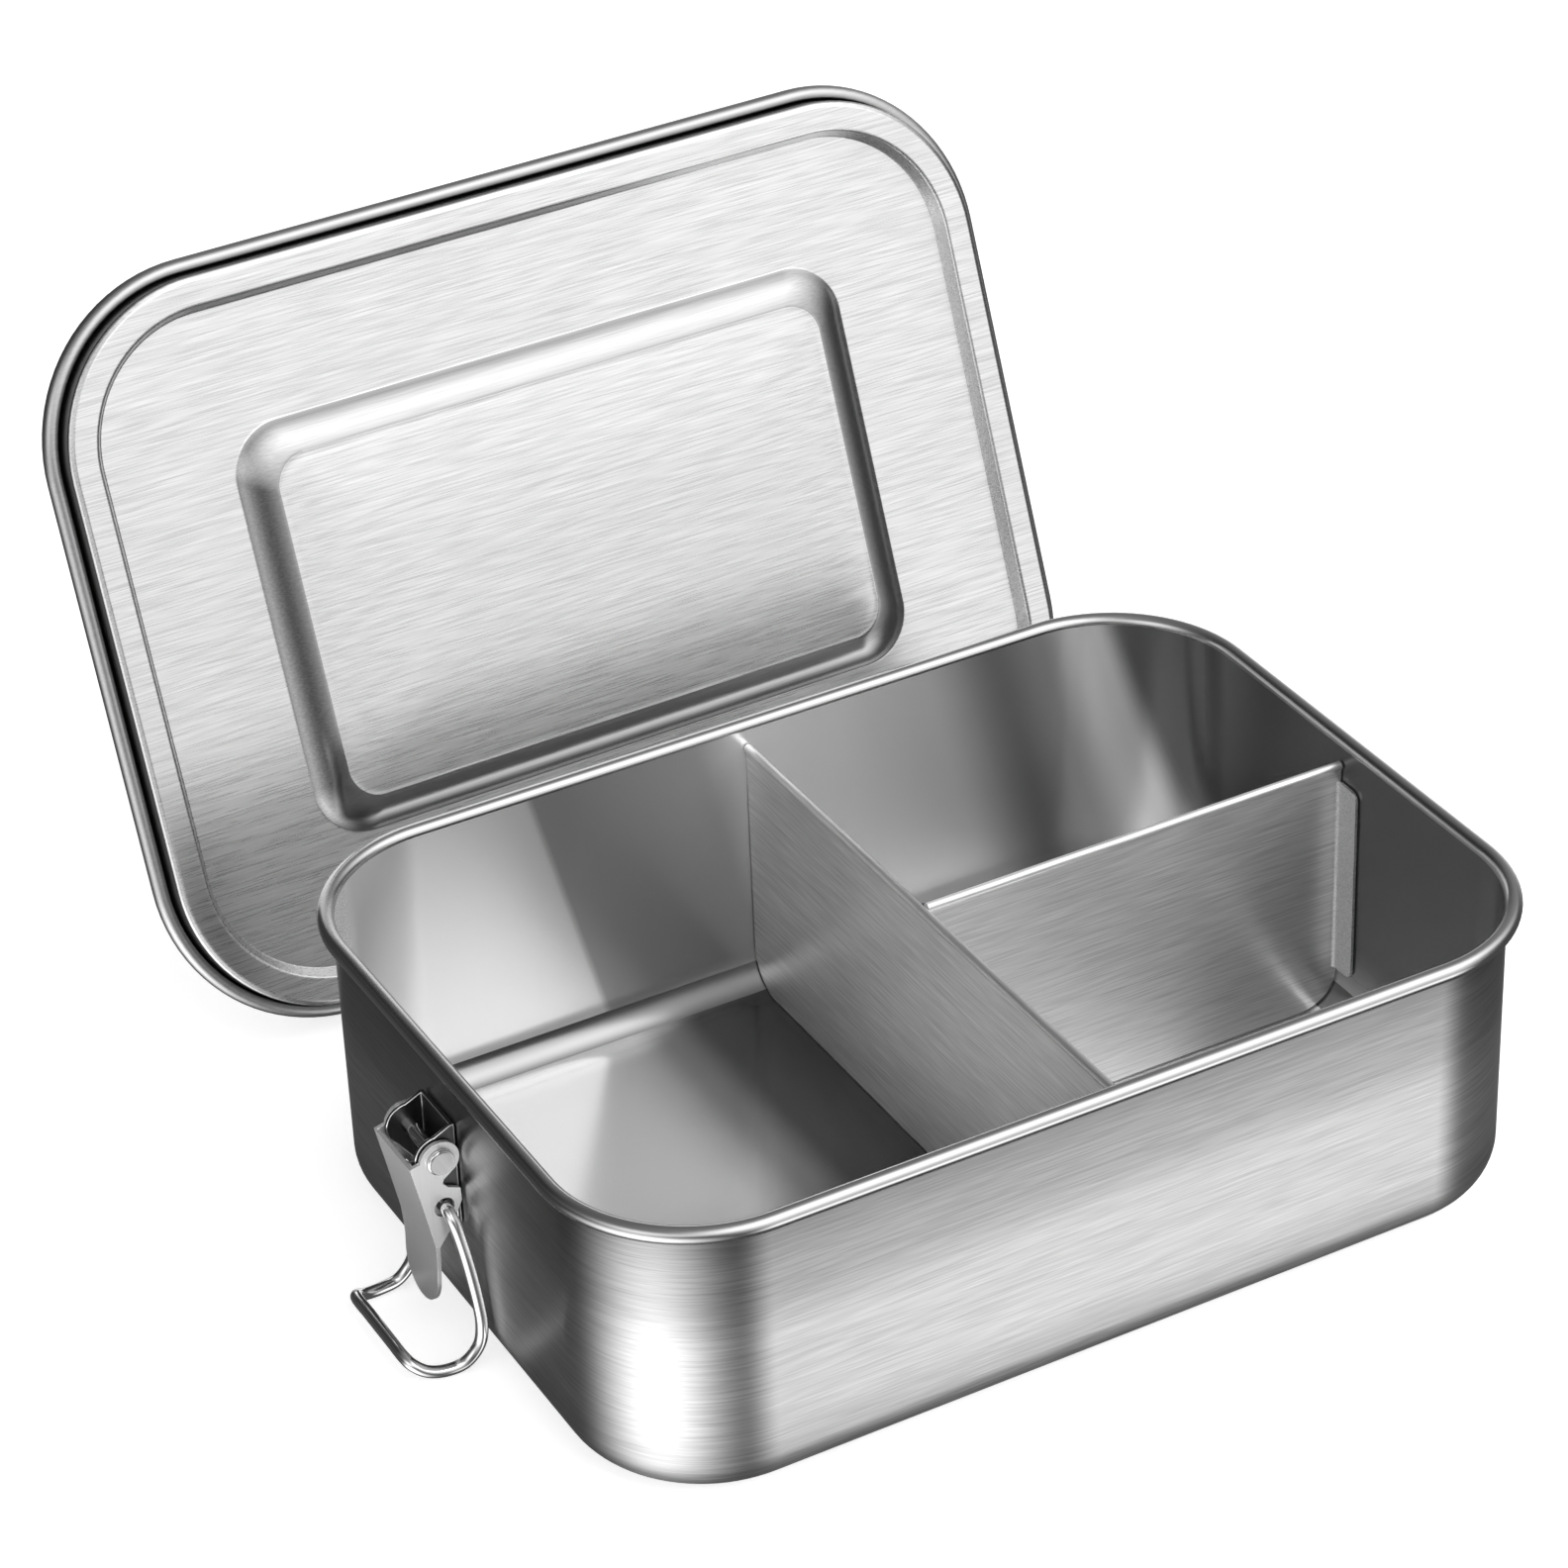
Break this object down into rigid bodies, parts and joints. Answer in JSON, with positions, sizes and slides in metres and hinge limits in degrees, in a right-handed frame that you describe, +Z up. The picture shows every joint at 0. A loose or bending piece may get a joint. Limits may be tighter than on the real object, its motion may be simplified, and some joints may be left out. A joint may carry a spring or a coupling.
{
  "type": "bento lunch box",
  "caption": "Stainless steel bento lunch box with welded dividers, a lift-off pressed lid and lever-and-bail clips on its short sides.",
  "frame": {"origin": "middle of the tub's flat base, on the surface that the tub stands on", "axes": "+Z up, X along the tub's long side, +Y towards the long side behind which the lid stands"},
  "size_m": [0.2284, 0.2365, 0.1453],
  "materials": {
    "brushed_steel": "pressed sheet with a fine straight grain",
    "satin_steel": "satin stamped sheet",
    "polished_steel": "polished wire and pin",
    "silicone": "translucent white silicone"
  },
  "bodies": {
    "tub": {"tub": "brushed_steel", "long_divider": "brushed_steel", "short_divider": "brushed_steel", "clip_bracket_left": "satin_steel", "clip_bracket_right": "satin_steel", "pivot_rivet_left": "polished_steel", "pivot_rivet_right": "polished_steel"},
    "lid": {"lid": "brushed_steel", "lid_seal": "silicone"},
    "lever_left": {"clip_lever_left": "satin_steel"},
    "lever_right": {"clip_lever_right": "satin_steel"},
    "bail_left": {"wire_bail_left": "polished_steel"},
    "bail_right": {"wire_bail_right": "polished_steel"}
  },
  "joints": [
    {"name": "lid_lift", "type": "slide", "parent": "tub", "child": "lid", "axis": [0, 0, 1], "range_m": [0, 0.15]},
    {"name": "lever_left_pivot", "type": "hinge", "parent": "tub", "child": "lever_left", "pos_m": [-0.1014, 0.004, 0.0424], "axis": [0, 1, 0], "range_deg": [0, 95]},
    {"name": "lever_right_pivot", "type": "hinge", "parent": "tub", "child": "lever_right", "pos_m": [0.1014, 0.004, 0.0424], "axis": [0, -1, 0], "range_deg": [0, 95]},
    {"name": "bail_left_swing", "type": "hinge", "parent": "lever_left", "child": "bail_left", "pos_m": [-0.1012, 0.004, 0.0319], "axis": [0, -1, 0], "range_deg": [-153, 0]},
    {"name": "bail_right_swing", "type": "hinge", "parent": "lever_right", "child": "bail_right", "pos_m": [0.1012, 0.004, 0.0319], "axis": [0, 1, 0], "range_deg": [-153, 0]}
  ]
}
